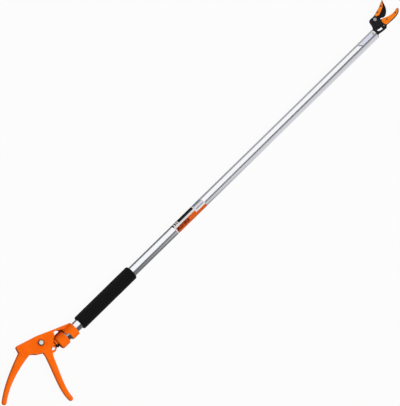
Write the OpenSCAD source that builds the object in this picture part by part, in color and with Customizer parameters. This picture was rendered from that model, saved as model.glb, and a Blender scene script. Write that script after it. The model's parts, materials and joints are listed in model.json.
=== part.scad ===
// Long reach cut-and-hold tree pruner, lying on its side, in millimetres.
// X runs along the pole towards the jaws, Y across it in the plane of the handle, Z is up.
// The origin is on the pole's axis at the middle of the foam grip.

/* [Pole] */
// Outer diameter of the pole tube
tube_d = 22; // [20:0.5:25]
// Wall of the pole tube
tube_wall = 1.2; // [1:0.1:1.5]
// Length of the pole tube
tube_len = 944; // [700:1:1800]
// Length of the foam grip
grip_len = 154; // [110:1:220]
// Thickness of the foam around the tube
foam_t = 4.8; // [3:0.1:7]
// Bare tube between the foam grip and the collar of the handle
bare_len = 13.5; // [6:0.5:30]
// Depth of the flat pressed into the tube over the head's tang
flat_depth = 0.5; // [0.3:0.05:0.7]
// Length of that flat
flat_len = 33; // [20:1:36]

/* [Turning knob] */
// Length of the knob that turns the pole
knob_len = 21.5; // [18:0.5:28]
// Wall of the knob around the tube
knob_wall = 4; // [3.4:0.1:5]
// Bare tube between the knob and the collar
turn_gap = 8; // [6:0.5:14]
// Diameter of the knob's set screw
knob_screw_d = 4; // [3:0.5:4]

/* [Handle] */
// Length of the collar that the pole turns in
collar_len = 18; // [12:0.5:22]
// Wall of the collar around its bush
collar_wall = 2.9; // [2:0.1:4]
// Wall of the collar bush
bush_wall = 1.6; // [1:0.1:2.4]
// Thickness of the trigger
trigger_t = 16; // [15:0.5:20]
// Thickness of each cheek beside the trigger
cheek_t = 3; // [2.5:0.1:5]
// Height of the trigger pivot over the pole's axis
pivot_rise = 26.4; // [25:0.2:29]
// How far the pull pin leads the trigger pivot
pin_lead = 9.6; // [8:0.1:11]
// Radius of the trigger round its pivot
boss_r = 11; // [9:0.1:11.5]
// Radius of the trigger's lug round the pull pin
lug_r = 7; // [6:0.1:8]
// Room for the lug between the pull pin and the wall behind the knob
pin_back = 11.2; // [10:0.1:12.5]
// Wall that the knob bears on
bearing_t = 4.4; // [3:0.1:6]
// Diameter of the trigger bolt
bolt_d = 8; // [6:0.5:9]
// Diameter of the trigger bolt's head
bolt_head_d = 13; // [11:0.5:15]
// Diameter of the pull pin
pull_pin_d = 5; // [4:0.5:6]
// Width of the slot in the trigger for the yoke
fork_slot = 8; // [7:0.5:9]

/* [Pull rod] */
// Diameter of the pull rod
rod_d = 5; // [4:0.5:5.5]
// Outer diameter of the yoke's swivel barrel
barrel_d = 11; // [10.5:0.1:12]
// Length of the return spring at rest
spring_len = 60; // [50:1:80]
// Mean diameter of the return spring
spring_d = 12.4; // [11:0.1:13.5]
// Wire of the return spring
spring_wire = 1.4; // [1:0.1:1.6]
// Turns of the return spring
spring_turns = 12; // [8:1:14]
// Number of guides that keep the rod in the middle of the tube
guide_count = 3; // [2:1:5]
// Length of each guide
guide_len = 12; // [6:0.5:20]

/* [Head] */
// Thickness of the cutting blade
blade_t = 3; // [2:0.1:4]
// Thickness of the counter blade
counter_t = 4; // [3:0.1:5]
// Thickness of the pull link
link_t = 2.5; // [1.6:0.1:3]
// Thickness of the socket's back cheek
back_t = 3; // [2:0.1:4]
// Thickness of the hold plate on the counter blade
counter_pad_t = 2.5; // [1.5:0.1:4]
// Thickness of the hold plate on the cutting blade
blade_pad_t = 4.8; // [3:0.1:6]
// Length of the tang inside the tube
tang_len = 40; // [40:1:60]
// Distance from the blade's pivot to the link pin
blade_arm = 22.8; // [22:0.1:23.4]
// Diameter of the link pin
link_pin_d = 3.4; // [3:0.1:4]
// Diameter of the blade bolt
blade_bolt_d = 6; // [5:0.5:7]
// Width of the ground bevel along the cutting edge
bevel_w = 3.2; // [2:0.1:4.5]
// Diameter of the small rivets in the head
rivet_d = 3; // [2:0.1:3.2]
// Diameter of the two rivets through tube and tang
tube_rivet_d = 3.6; // [3:0.1:4.5]

/* [Hidden] */
$fn = 48;

ORANGE = "darkorange";
BLACK = "dimgray";
STEEL = "silver";
NYLON = "whitesmoke";

// Clearances: a snug seat, a running fit, a sliding gap and room round a moving piece
snug = 0.02;
run = 0.06;
slide = 0.2;
room = 0.5;

tube_r = tube_d / 2;
bore_r = tube_r - tube_wall;
knob_r = tube_r + knob_wall;
bush_r = tube_r + run + bush_wall;
collar_r = bush_r + snug + collar_wall;
rod_r = rod_d / 2;

// The handle's own X starts at the front face of the collar
handle_x = -grip_len / 2 - bare_len;
knob_front = -collar_len - turn_gap;
knob_back = knob_front - knob_len;
knob_lip = 1.5;
hood_gap = 1.2;
hood_back = knob_front + hood_gap;
tube_back = knob_back + knob_lip;
bearing_front = knob_back - slide - 0.1;
lug_gap = 0.7;
pull_x = bearing_front - bearing_t - pin_back;
pull = [pull_x, 0];
pivot = [pull_x - pin_lead, pivot_rise];
side_gap = 0.5;
cheek_z = trigger_t / 2 + side_gap;
body_t = 2 * (cheek_z + cheek_t);

// Ring that keeps the pole from sliding out of the collar
ring_t = 1.2;
ring_h = 2.2;
groove_depth = 0.5;

// Pieces inside the tube, measured from the tube's lower end
barrel_x = pull_x + pin_back;
barrel_len = 9.5;
barrel_wall = 2;
rod_head_t = 3;
rod_head_r = rod_r + 1;
plug_x = handle_x + tube_back + 22;
plug_len = 8;
stop_len = 6;

// The head's own X starts at the upper end of the tube
head_x = handle_x + tube_back + tube_len;
jaw_pivot = [20, 21.7];
jaw_open = 39;
pin_angle = -75;
link_pin_at = jaw_pivot + blade_arm * [cos(pin_angle), sin(pin_angle)];
rod_travel = blade_arm * (cos(pin_angle) - cos(pin_angle - jaw_open));
trigger_lead = atan(pin_lead / pivot_rise);
trigger_travel = trigger_lead + atan(rod_travel / pivot_rise - tan(trigger_lead));

// Layers of the head, front is up
blade_top = blade_t / 2;
counter_z = blade_top + slide;
counter_top = counter_z + counter_t;
link_z = -blade_top - slide - link_t;
back_top = link_z - 0.3;
back_z = back_top - back_t;
tang_r = bore_r - run;
socket_r = rod_r + 1.7;
tang_bore_r = socket_r + 0.4;
rod_end = -9;
link_top = sqrt(pow(tang_r - 0.5, 2) - pow(back_top, 2)) - 0.4;
link_low = link_top - 3.4;
disc_r = 6.9;
bolt_tail = 2;

echo(rod_travel = rod_travel, trigger_travel = trigger_travel, jaw_open = jaw_open, head_x = head_x);

function unit(v) = v / norm(v);
function xy(p) = [p.x, p.y];
function at(c, a, r) = c + r * [cos(a), sin(a)];
function arc(c, r, from, to, n = 12) = [for (i = [0:n]) at(c, from + (to - from) * i / n, r)];

// Points of a cubic curve, and its direction
function curve_at(p, t) =
    let (s = 1 - t) s * s * s * p[0] + 3 * s * s * t * p[1] + 3 * s * t * t * p[2] + t * t * t * p[3];
function curve_dir(p, t) =
    let (s = 1 - t) unit(s * s * (p[1] - p[0]) + 2 * s * t * (p[2] - p[1]) + t * t * (p[3] - p[2]));
function curve(p, n = 14) = [for (i = [0:n]) curve_at(p, i / n)];
function curve_inset(p, d, n = 14) =
    [for (i = [0:n]) let (u = curve_dir(p, i / n)) curve_at(p, i / n) + d * [-u.y, u.x]];

// An outline from corners [x, y, radius], each corner with a radius made an arc
function corner(a, b, c, n) =
    let (
        u = unit(xy(a) - xy(b)),
        v = unit(xy(c) - xy(b)),
        half = acos(u * v) / 2,
        mid = xy(b) + unit(u + v) * b[2] / sin(half),
        start = xy(b) + u * b[2] / tan(half) - mid,
        end = xy(b) + v * b[2] / tan(half) - mid,
        from = atan2(start.y, start.x),
        sweep = (atan2(end.y, end.x) - from + 540) % 360 - 180
    ) arc(mid, b[2], from, from + sweep, n);
function rounded(pts, n = 6) =
    let (k = len(pts))
    [for (i = [0:k - 1])
        each pts[i][2] > 0 ? corner(pts[(i + k - 1) % k], pts[i], pts[(i + 1) % k], n) : [xy(pts[i])]];
// The same corners moved by [x, y]
function moved(pts, by) = [for (p = pts) [p.x + by.x, p.y + by.y, p[2]]];

// Sections of a bar along a curve: half width, half height and roundness, squarer where the bar starts
function soft(a, q) = [sign(cos(a)) * pow(abs(cos(a)), q), sign(sin(a)) * pow(abs(sin(a)), q)];
function bar_ring(mid, dir, w, h, q = 0.7, n = 20) =
    [for (i = [0:n - 1])
        let (s = soft(360 * i / n, q), p = mid + w * s.x * [-dir.y, dir.x]) [p.x, p.y, h * s.y]];
function bar_rings(p, w, h, tip_r, n = 12) =
    let (
        body = [for (i = [0:n]) let (t = i / n)
            bar_ring(curve_at(p, t), curve_dir(p, t), lookup_pair(w, t), lookup_pair(h, t), 0.7 - 0.25 * pow(1 - t, 3))],
        dir = curve_dir(p, 1),
        tip = [for (a = [30, 55, 75]) bar_ring(p[3] + dir * tip_r * sin(a), dir, w[1] * cos(a), h[1] * cos(a))]
    ) concat(body, tip);
function lookup_pair(v, t) = v[1] + (v[0] - v[1]) * pow(1 - t, v[2]);

// A closed skin over sections that all have as many points
module loft(rings) {
    n = len(rings[0]);
    m = len(rings);
    sides = [for (i = [0:m - 2], j = [0:n - 1], k = [0, 1])
        let (a = i * n + j, b = i * n + (j + 1) % n)
        k == 0 ? [a, b + n, b] : [a, a + n, b + n]];
    first = [for (j = [0:n - 1]) j];
    last = [for (j = [n - 1:-1:0]) (m - 1) * n + j];
    polyhedron([for (r = rings) each r], concat(sides, [first, last]));
}

// A cylinder along X, and a plate between two heights
module along(from, to, r) translate([from, 0, 0]) rotate([0, 90, 0]) cylinder(h = to - from, r = r);
module plate(from, to, pts) translate([0, 0, from]) linear_extrude(to - from) polygon(pts);
module post(at, from, to, r) translate([at.x, at.y, from]) cylinder(h = to - from, r = r);
// A shape turned round X from points [distance along X, radius]
module turned(pts) rotate([0, 90, 0]) rotate_extrude() polygon([for (p = pts) [p[1], p[0]]]);
// A straight slot between two points, cut through all heights from and to
module slot(a, b, from, to, r) {
    post(a, from, to, r);
    post(b, from, to, r);
    d = b - a;
    translate([a.x, a.y, from]) rotate(atan2(d.y, d.x)) translate([0, -r, 0]) cube([norm(d), 2 * r, to - from]);
}
// A slot that follows a circle
module arc_slot(c, r, from_a, to_a, w, from, to) plate(from, to, concat(
    arc(c, r + w, from_a, to_a, 12), arc(at(c, to_a, r), w, to_a, to_a - 180, 10),
    arc(c, r - w, to_a, from_a, 12), arc(at(c, from_a, r), w, from_a + 180, from_a, 10)));
module hex(at, from, to, flats) translate([at.x, at.y, from]) cylinder(h = to - from, d = flats / cos(30), $fn = 6);

// Outlines of the handle, in the handle's own X
grip_path = [for (p = [[-30, 11.4], [-68.1, 2.7], [-110.8, -11.5], [-140.4, -35]]) pivot + p];
lever_path = [for (p = [[-14.6, -2], [-28, -41], [-45.4, -70], [-45.2, -98]]) pull + p];
bridge_t = 15;
window_top = knob_r + 7;
// Body round the trigger, and the bridge from it over the knob to the collar
body_outline = concat(
    [[knob_back + 8.6, window_top + 7.9, 2]],
    moved([[3, 16.8, 60], [-43.2, 30.8, 2], [-47.1, 18.3, 2], [-45, 4.2, 0], [-41, -0.8, 0],
        [-30.8, -2.2, 4], [-23, -10.6, 8]], pivot),
    moved([[-20.5, 8.6, 8], [-6, 5, 8], [4.4, 4.7, 2], [pin_back, 0.6, 0.8]], pull),
    [[bearing_front + 1, 0.6, 0], [bearing_front + 1, 9.6, 0], [knob_back + 8, window_top, 2]]
);
bridge_outline = concat(
    [[-2, collar_r - 0.5, 0], [knob_back - 4, window_top + 13.2, 0], [knob_back - 4, window_top, 0],
        [knob_back + 6, window_top + 2.4, 0], [knob_back + 9.5, window_top + 2.6, 1.5], [knob_front - 5, window_top + 1.4, 2],
        [knob_front - 1.5, window_top - 3.6, 3],
        [-collar_len + 0.5, collar_r - 3, 0], [-3, collar_r - 4, 0]]
);
// Rail behind the window, low over the knob
rail_outline = [[-collar_len + 0.5, 11], [-collar_len + 0.5, collar_r - 2], [hood_back, knob_r + 2.6], [knob_back + 8, knob_r + 3.2],
    [bearing_front - 1, knob_r + 2.4], [bearing_front - 1, 11]];
// Front cheek cut back beside the knob
relief_outline = concat([[knob_front, window_top - 3], [knob_back + 8.4, window_top - 0.6]],
    [for (p = [[2.8, 16], [-3.4, 13], [-7.2, 9.2], [-6.6, 3]]) [bearing_front + p.x, p.y]],
    [[bearing_front - 6.6, -9], [knob_front, -9]]);
pocket_outline = concat(
    [[bearing_front - bearing_t, -12], [bearing_front - bearing_t, 14]],
    arc(pivot, boss_r + lug_gap, -5, 150, 14),
    [for (p = [[-22.5, -10.5], [-34.5, -24], [-34.5, -46]]) pivot + p]
);
trigger_outline = concat(
    arc(pivot, boss_r, -10, 190, 16),
    corner(pivot + [-boss_r, -2], concat(pivot + [-boss_r, -18.6], [11]), pull + [-23, -4], 5),
    [for (p = [[-22, -6], [-18.4, -15], [-10.6, -12]]) pull + p],
    arc(pull, lug_r, -140, 15, 12),
    corner(pull + [6.6, 3], concat(pull + [2.6, 10], [5]), pivot + [boss_r, -3], 4)
);

// Upper side of the collar drawn back towards the knob, over the retaining ring
module hood() intersection() {
    turned([[hood_back, 0], [hood_back, collar_r - 1.1], [hood_back + 0.8, collar_r - 0.3],
        [-collar_len + 1, collar_r - 0.3], [-collar_len + 1, 0]]);
    linear_extrude(3 * collar_r, center = true)
        polygon([[-collar_len + 2, 1], [-collar_len, 1], [hood_back - 1, 3], [hood_back - 1, 2 * collar_r],
            [-collar_len + 2, 2 * collar_r]]);
}
module handle_casting() color(ORANGE) translate([handle_x, 0, 0]) difference() {
    union() {
        linear_extrude(body_t, center = true) polygon(rounded(body_outline));
        linear_extrude(bridge_t, center = true) polygon(rounded(bridge_outline));
        plate(-bridge_t / 2, -1, rail_outline);
        loft(bar_rings(grip_path, [12.2, 5.3, 2], [body_t / 2 - 0.3, 7.5, 1], 5));
        turned([[-collar_len, 0], [-collar_len, collar_r - 0.8], [-collar_len + 0.8, collar_r],
            [-0.8, collar_r], [0, collar_r - 0.8], [0, 0]]);
        hood();
    }
    linear_extrude(2 * cheek_z, center = true) polygon(pocket_outline);
    plate(cheek_z, body_t, relief_outline);
    along(-collar_len - 1, 1, bush_r + snug);
    along(bearing_front, hood_back, knob_r + 0.7);
    along(hood_back - 1, -collar_len, tube_r + ring_h + 0.4);
    along(bearing_front - bearing_t - 1, bearing_front + 1, barrel_d / 2 + room);
    post(pivot, -body_t, body_t, bolt_d / 2 + snug);
}

module collar_bush() color(NYLON) translate([handle_x, 0, 0]) difference() {
    along(-collar_len, 0, bush_r);
    along(-collar_len - 1, 1, tube_r + run);
}

// Bolt, washer and nut of the trigger
washer_t = 1.4;
nut_h = 6.5;
bolt_head_h = 4.2;
module trigger_bolt() color(STEEL) translate([handle_x, 0, 0]) difference() {
    union() {
        translate([pivot.x, pivot.y, body_t / 2]) rotate_extrude()
            polygon(concat([[0, 0], [bolt_head_d / 2, 0]], arc([bolt_head_d / 2 - 2.4, bolt_head_h - 2.4], 2.4, 0, 90, 5),
                [[0, bolt_head_h]]));
        post(pivot, -body_t / 2 - washer_t - nut_h - bolt_tail, body_t / 2 + 0.01, bolt_d / 2);
    }
    hex(pivot, body_t / 2 + bolt_head_h - 2.4, body_t / 2 + bolt_head_h + 1, bolt_d * 0.62);
}
module trigger_washer() color(STEEL) translate([handle_x, 0, 0]) difference() {
    post(pivot, -body_t / 2 - washer_t, -body_t / 2, bolt_d);
    post(pivot, -body_t, 0, bolt_d / 2 + snug);
}
module trigger_nut() color(STEEL) translate([handle_x, 0, 0]) difference() {
    hex(pivot, -body_t / 2 - washer_t - nut_h, -body_t / 2 - washer_t, bolt_d * 1.62);
    post(pivot, -2 * body_t, 0, bolt_d / 2 + snug);
}

bush_t = 1.5;
pin_fit = 0.3;
module trigger() color(ORANGE) translate([handle_x, 0, 0]) difference() {
    union() {
        linear_extrude(trigger_t, center = true) polygon(trigger_outline);
        loft(bar_rings(lever_path, [7.9, 5.3, 1], [trigger_t / 2 - 0.2, 6.4, 1], 5));
    }
    linear_extrude(fork_slot, center = true) polygon([for (p = [[-6.5, -14], [14, -14], [14, 12.5], [-3, 12.5],
        [-6.5, 7]]) pull + p]);
    post(pivot, -trigger_t, trigger_t, bolt_d / 2 + bush_t + run);
    reach = unit(pull - pivot);
    slot(pivot + reach * (pivot_rise - 0.3), pivot + reach * (norm(pull - pivot) + 0.3),
        -trigger_t, trigger_t, pull_pin_d / 2 + pin_fit);
}
module trigger_bush() color(NYLON) translate([handle_x, 0, 0]) difference() {
    post(pivot, -trigger_t / 2, trigger_t / 2, bolt_d / 2 + bush_t + run - snug);
    post(pivot, -trigger_t, trigger_t, bolt_d / 2 + run);
}

// Yoke in the trigger's fork, with the rod's head free to turn in its barrel
eye_r = pull_pin_d / 2 + 2.5;
arm_t = fork_slot / 2 - 2 * slide;
arm_h = sqrt(pow(barrel_d / 2 - 0.2, 2) - pow(arm_t, 2));
module rod_yoke() color(BLACK) translate([handle_x, 0, 0]) difference() {
    union() {
        post(pull, -arm_t, arm_t, eye_r);
        translate([pull.x, -arm_h, -arm_t]) cube([pin_back + 1, 2 * arm_h, 2 * arm_t]);
        along(barrel_x, barrel_x + barrel_len, barrel_d / 2);
    }
    post(pull, -fork_slot, fork_slot, pull_pin_d / 2 + snug);
    along(barrel_x + barrel_wall, barrel_x + barrel_wall + rod_head_t + 2 * slide, rod_head_r + slide);
    along(barrel_x + barrel_wall + 1, barrel_x + barrel_len + 1, rod_r + slide);
    translate([barrel_x + barrel_wall, -barrel_d, -rod_head_r - slide])
        cube([rod_head_t + 2 * slide, barrel_d, 2 * (rod_head_r + slide)]);
    translate([barrel_x + barrel_wall + 1, -barrel_d, -rod_r - slide])
        cube([barrel_len, barrel_d, 2 * (rod_r + slide)]);
}
pin_head_r = pull_pin_d / 2 + 1.2;
pin_head_z = trigger_t / 2 + slide;
module pull_pin() color(STEEL) translate([handle_x, 0, 0]) union() {
    post(pull, -pin_head_z - 2.2, pin_head_z + 0.1, pull_pin_d / 2);
    translate([pull.x, pull.y, pin_head_z]) rotate_extrude()
        polygon(concat([[0, 0], [pin_head_r, 0]], arc([pin_head_r - 1, 0.7], 1, 0, 90, 4), [[0, 1.7]]));
}
module pull_pin_clip() color(STEEL) translate([handle_x, 0, 0]) difference() {
    post(pull, -pin_head_z - 1, -pin_head_z, pin_head_r);
    post(pull, -2 * trigger_t, 0, pull_pin_d / 2 + snug);
    translate([pull.x, pull.y - 1, -2 * trigger_t]) cube([2 * pin_head_r, 2, 2 * trigger_t]);
}

// Tube with its ring groove, the flat pressed over the tang and the holes for rivets
rivet_x = head_x - 4.5;
rivet_turn = 20;
flat_x = head_x - 7 - flat_len;
groove_x = handle_x - collar_len - slide - ring_t;
module tube_rivet_holes(r) for (side = [0, 180])
    translate([rivet_x, 0, 0]) rotate([side - rivet_turn, 0, 0]) cylinder(h = 2 * tube_r, r = r);
module pole_tube() color(STEEL) difference() {
    along(handle_x + tube_back, head_x, tube_r);
    along(handle_x + tube_back - 1, head_x + 1, bore_r);
    difference() {
        along(groove_x - snug, groove_x + ring_t + snug, tube_r + 1);
        along(groove_x - 1, groove_x + ring_t + 1, tube_r - groove_depth);
    }
    rotate([-rivet_turn, 0, 0]) translate([flat_x, -tube_r, tube_r - flat_depth]) cube([flat_len, tube_d, tube_r]);
    tube_rivet_holes(tube_rivet_d / 2 + snug);
    translate([handle_x + knob_front - knob_len / 2, 0, -2 * tube_r]) cylinder(h = 2 * tube_r, d = knob_screw_d - 1);
}

module retaining_ring() color(STEEL) difference() {
    along(groove_x, groove_x + ring_t, tube_r + ring_h);
    along(groove_x - 1, groove_x + ring_t + 1, tube_r - groove_depth + snug);
    translate([groove_x - 1, -1.5, -2 * tube_r]) cube([ring_t + 2, 3, 2 * tube_r]);
}

module turning_knob() color(ORANGE) translate([handle_x, 0, 0]) difference() {
    turned(concat([[knob_back, 0]], [for (a = [0:18:90]) [knob_back + 4 - 4 * cos(a), knob_r - 4 + 4 * sin(a)]],
        [[knob_front - 1, knob_r], [knob_front, knob_r - 1], [knob_front, 0]]));
    along(tube_back, knob_front + 1, tube_r + snug);
    along(knob_back - 1, knob_front, bore_r);
    translate([knob_front - knob_len / 2, 0, -2 * knob_r]) cylinder(h = 2 * knob_r, d = knob_screw_d + 2 * snug);
}
module knob_screw() color(STEEL) translate([handle_x + knob_front - knob_len / 2, 0, 0]) difference() {
    union() {
        translate([0, 0, -knob_r + 1]) cylinder(h = knob_wall - 1 - snug, d = knob_screw_d);
        translate([0, 0, -tube_r - 0.1]) cylinder(h = tube_wall, d = knob_screw_d - 1 - 2 * snug);
    }
    hex([0, 0], -knob_r, -knob_r + 2.4, knob_screw_d / 2);
}

// Foam sleeve with softly rounded ends
module foam_grip() color("black") {
    r = tube_r + foam_t;
    e = min(3, foam_t - 0.5);
    h = grip_len / 2;
    turned(concat([[-h, tube_r + snug]], [for (a = [0:18:90]) [-h + e - e * cos(a), r - e + e * sin(a)]],
        [for (a = [0:18:90]) [h - e + e * sin(a), r - e + e * cos(a)]], [[h, tube_r + snug]]));
}

module tube_plug() color(NYLON) difference() {
    along(plug_x, plug_x + plug_len, bore_r - snug);
    along(plug_x - 1, plug_x + plug_len + 1, rod_r + slide);
}

// Return spring as one unbroken wire from flat end to flat end
spring_rings = 8 * spring_turns;
spring_run = spring_len - spring_wire - 2 * slide;
function spring_mid(i) =
    let (a = 360 * i / 8) [spring_wire / 2 + slide + spring_run * i / spring_rings,
        spring_d / 2 * cos(a), spring_d / 2 * sin(a)];
function spring_ring(i) =
    let (m = spring_mid(i), a = 360 * i / 8)
    [for (j = [0:5]) let (b = -60 * j, r = spring_wire / 2 * cos(b))
        m + [spring_wire / 2 * sin(b), r * cos(a), r * sin(a)]];
echo(spring_self_gap = min([for (i = [0:7]) norm(spring_mid(i + 8) - spring_mid(i)) - spring_wire]));
module return_spring() color(STEEL) translate([plug_x + plug_len, 0, 0])
    loft([for (i = [0:spring_rings]) spring_ring(i)]);

stop_x = plug_x + plug_len + spring_len;
module rod_stop() color(STEEL) difference() {
    along(stop_x, stop_x + stop_len, spring_d / 2 + 1.6);
    along(stop_x - 1, stop_x + stop_len + 1, rod_r + snug);
}

// Guides spread evenly between the spring and the tang
guide_step = (head_x - tang_len - 40 - stop_x - stop_len) / guide_count;
module rod_guides() color(NYLON) for (i = [1:guide_count])
    translate([stop_x + stop_len + guide_step * i - guide_len, 0, 0]) difference() {
        along(0, guide_len, bore_r - snug);
        along(-1, guide_len + 1, rod_r + slide);
        for (a = [0:60:300])
            rotate([a, 0, 0]) translate([0, 0, (bore_r + rod_r) / 2]) along(-1, guide_len + 1, (bore_r - rod_r) / 4);
    }

rod_start = handle_x + barrel_x + barrel_wall + slide;
module pull_rod() color(STEEL) union() {
    along(rod_start, rod_start + rod_head_t, rod_head_r);
    along(rod_start + 0.1, head_x + rod_end, rod_r);
}

// Link from the rod to the blade's tail, cranked to stay clear of the pin's slot
link_nut_h = 4;
socket_x = -25;
module pull_link() color(BLACK) translate([head_x, 0, 0]) difference() {
    union() {
        along(socket_x, rod_end, socket_r);
        plate(link_z, link_z + link_t, rounded(concat(
            [[socket_x, -2.2, 0], [rod_end + 1, -2.2, 3], [rod_end + 5, link_low, 2.5]],
            [[link_pin_at.x - 4.6, link_low, 1]],
            moved([[-4.6, -6, 3.4], [4.4, -6, 3.4], [4.4, 4.5, 4]], link_pin_at),
            [[link_pin_at.x - 1, link_top, 3], [rod_end + 3, link_top, 4], [rod_end - 3, 2.2, 4], [socket_x, 2.2, 0]])));
    }
    along(socket_x - 1, rod_end + 1, rod_r + snug);
    slot(link_pin_at - [0, 1.3], link_pin_at + [0, 1.7], link_z - 1, 0, link_pin_d / 2 + pin_fit);
}
module link_nut() color(STEEL) translate([head_x + socket_x, 0, 0]) difference() {
    rotate([0, 90, 0]) hex([0, 0], -link_nut_h, 0, 1.5 * rod_d);
    along(-link_nut_h - 1, 1, rod_r + snug);
}

// Outlines of the head, in the head's own X
lobe = [[1.6, 9.2, 0], [5.2, 13.2, 4], [7, 20, 20], [8.2, 28.2, 6], [16.6, 29.4, 4]];
back_lobe = [[0.4, 9.2, 0], [5, 9.4, 2], [9, 14.4, 6], [11, 20.4, 20], [12.8, 27, 4], [17, 28.6, 4]];
right_side = [[26, -8.4, 5], [14.9, -7.2, 12], [8.8, -6, 12], [2.4, -6.4, 0]];
hook_in = [[31.3, 13], [42, 10.2], [52, 1.8], [71.8, 7.2]];
hook_out = [[74.4, 4.6], [71.5, -4.4], [58, -5.6], [44, -4.8]];
rim_w = 2.3;
edge_a = [[63.5, 40.8], [59, 34], [60, 24], [50.5, 16.4]];
edge_b = [[50.5, 16.4], [46.5, 13.2], [41, 9.5], [34, 15]];
slot_r = link_pin_d / 2 + 0.45;
module pin_slot(from, to) arc_slot(jaw_pivot, blade_arm, pin_angle + 2, pin_angle - jaw_open - 2.5, slot_r, from, to);
counter_rivet_at = [[3.6, -3.6], [3.6, 1.6]];
// Thick part of the socket under the counter blade, clear of the blade's tail
pad_outline = [[0.6, 9], [5.6, 9], [5.6, -5.6], [0.6, -6]];

module head_socket() color(BLACK) translate([head_x, 0, 0]) difference() {
    union() {
        along(-tang_len, 0.1, tang_r);
        along(0, 1.4, tube_r - 0.2);
        plate(back_z, back_top, rounded(concat(back_lobe,
            [[21.5, 28.2, 5], [27.6, 24.6, 6], [28.6, 6, 8], [30.6, -3, 4]], right_side, [[0.4, -6.4, 0]])));
        plate(back_top - 0.5, counter_z, pad_outline);
        post(jaw_pivot, back_top - 0.5, -counter_z, 6.5);
    }
    along(-tang_len - 1, -2, tang_bore_r);
    translate([-tang_len - 1, -2.8, back_top])
        cube([tang_len - 2.2, link_top + 3.2, link_t + 0.8]);
    translate([-5, link_low - 0.4, back_top + 0.1]) cube([13, link_top - link_low + 0.7, link_t + 0.5]);
    pin_slot(back_z - 1, back_top + 1);
    post(jaw_pivot, back_z - 1, 1, blade_bolt_d / 2 + snug);
    for (p = counter_rivet_at) post(p, back_z - 1, counter_z + 1, rivet_d / 2 + snug);
    translate([-head_x, 0, 0]) tube_rivet_holes(tube_rivet_d / 2 + snug);
}

module tube_rivets() color(STEEL) for (side = [0, 180])
    translate([rivet_x, 0, 0]) rotate([side - rivet_turn, 0, 0]) {
        translate([0, 0, tang_bore_r + 1.4]) cylinder(h = tube_r - tang_bore_r - 1, d = tube_rivet_d);
        translate([0, 0, tube_r + snug]) rotate_extrude()
            polygon(concat([[0, 0], [tube_rivet_d * 0.85, 0]], arc([0, -1.6 * tube_rivet_d + 1.2], 1.6 * tube_rivet_d, 62, 90, 5)));
    }

module counter_blade() color(BLACK) translate([head_x, 0, 0]) difference() {
    plate(counter_z, counter_top, concat(
        rounded(concat(lobe, [[19.4, jaw_pivot.y + disc_r - 0.2, 0]])),
        arc(jaw_pivot, disc_r - 0.2, 78, -28, 12),
        [[29.2, 15.2]], curve(hook_in), arc([72.2, 4.8], 2.4, 80, 0, 5), curve(hook_out),
        rounded(concat([[40, -4.6, 0], [31, -3.8, 5]], right_side, [[1.6, -6.4, 0]]))));
    pin_slot(counter_z - 1, counter_top + 1);
    post(jaw_pivot, 0, 2 * counter_top, blade_bolt_d / 2 + snug);
    for (p = counter_rivet_at) post(p, 0, 2 * counter_top, rivet_d / 2 + snug);
    for (p = counter_pad_at) post(p, 0, 2 * counter_top, rivet_d / 2 + snug);
}
// A rivet: shank, and a low domed head on top
module rivet(at, from, top) {
    post(at, from, top + 0.1, rivet_d / 2);
    translate([at.x, at.y, top]) rotate_extrude()
        polygon(concat([[0, 0], [rivet_d * 0.68, 0]], arc([0, -1.6 * rivet_d + 1], 1.6 * rivet_d, 66, 90, 5)));
}
module counter_rivets() color(STEEL) translate([head_x, 0, 0])
    for (p = counter_rivet_at) rivet(p, back_z, counter_top);

counter_pad_at = [[39, 5], [62.6, 2.6]];
blade_pad_at = [[35.4, 29.2], [50.3, 33.2]];
module counter_hold_plate() color(ORANGE) translate([head_x, 0, 0]) difference() {
    plate(counter_top, counter_top + counter_pad_t, concat([[28.4, 9.8]], curve(hook_in),
        arc([72, 4.8], 2, 80, 0, 4), curve_inset(hook_out, -rim_w), rounded([[38, -3, 0], [30, -2.4, 2], [28, 4, 2], [28.4, 9.8, 0]])));
    for (p = counter_pad_at) post(p, 0, 3 * counter_top, rivet_d / 2 + snug);
}
module counter_plate_rivets() color(STEEL) translate([head_x, 0, 0])
    for (p = counter_pad_at) rivet(p, counter_z, counter_top + counter_pad_t);

blade_head_h = 3.4;
module blade_bolt() color(STEEL) translate([head_x, 0, 0]) difference() {
    union() {
        translate([jaw_pivot.x, jaw_pivot.y, counter_top]) rotate_extrude()
            polygon(concat([[0, 0], [blade_bolt_d * 0.8, 0]],
                arc([blade_bolt_d * 0.8 - 1.8, blade_head_h - 1.8], 1.8, 0, 90, 5), [[0, blade_head_h]]));
        post(jaw_pivot, back_z - blade_washer_t - blade_nut_h - bolt_tail, counter_top + 0.1, blade_bolt_d / 2);
    }
    hex(jaw_pivot, counter_top + blade_head_h - 2, counter_top + blade_head_h + 1, blade_bolt_d * 0.62);
}
blade_washer_t = 1.2;
blade_nut_h = 5;
module blade_washer() color(STEEL) translate([head_x, 0, 0]) difference() {
    post(jaw_pivot, back_z - blade_washer_t, back_z, blade_bolt_d);
    post(jaw_pivot, 3 * back_z, 0, blade_bolt_d / 2 + snug);
}
module blade_nut() color(STEEL) translate([head_x, 0, 0]) difference() {
    hex(jaw_pivot, back_z - blade_washer_t - blade_nut_h, back_z - blade_washer_t, blade_bolt_d * 1.66);
    post(jaw_pivot, 4 * back_z, 0, blade_bolt_d / 2 + snug);
}

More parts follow.
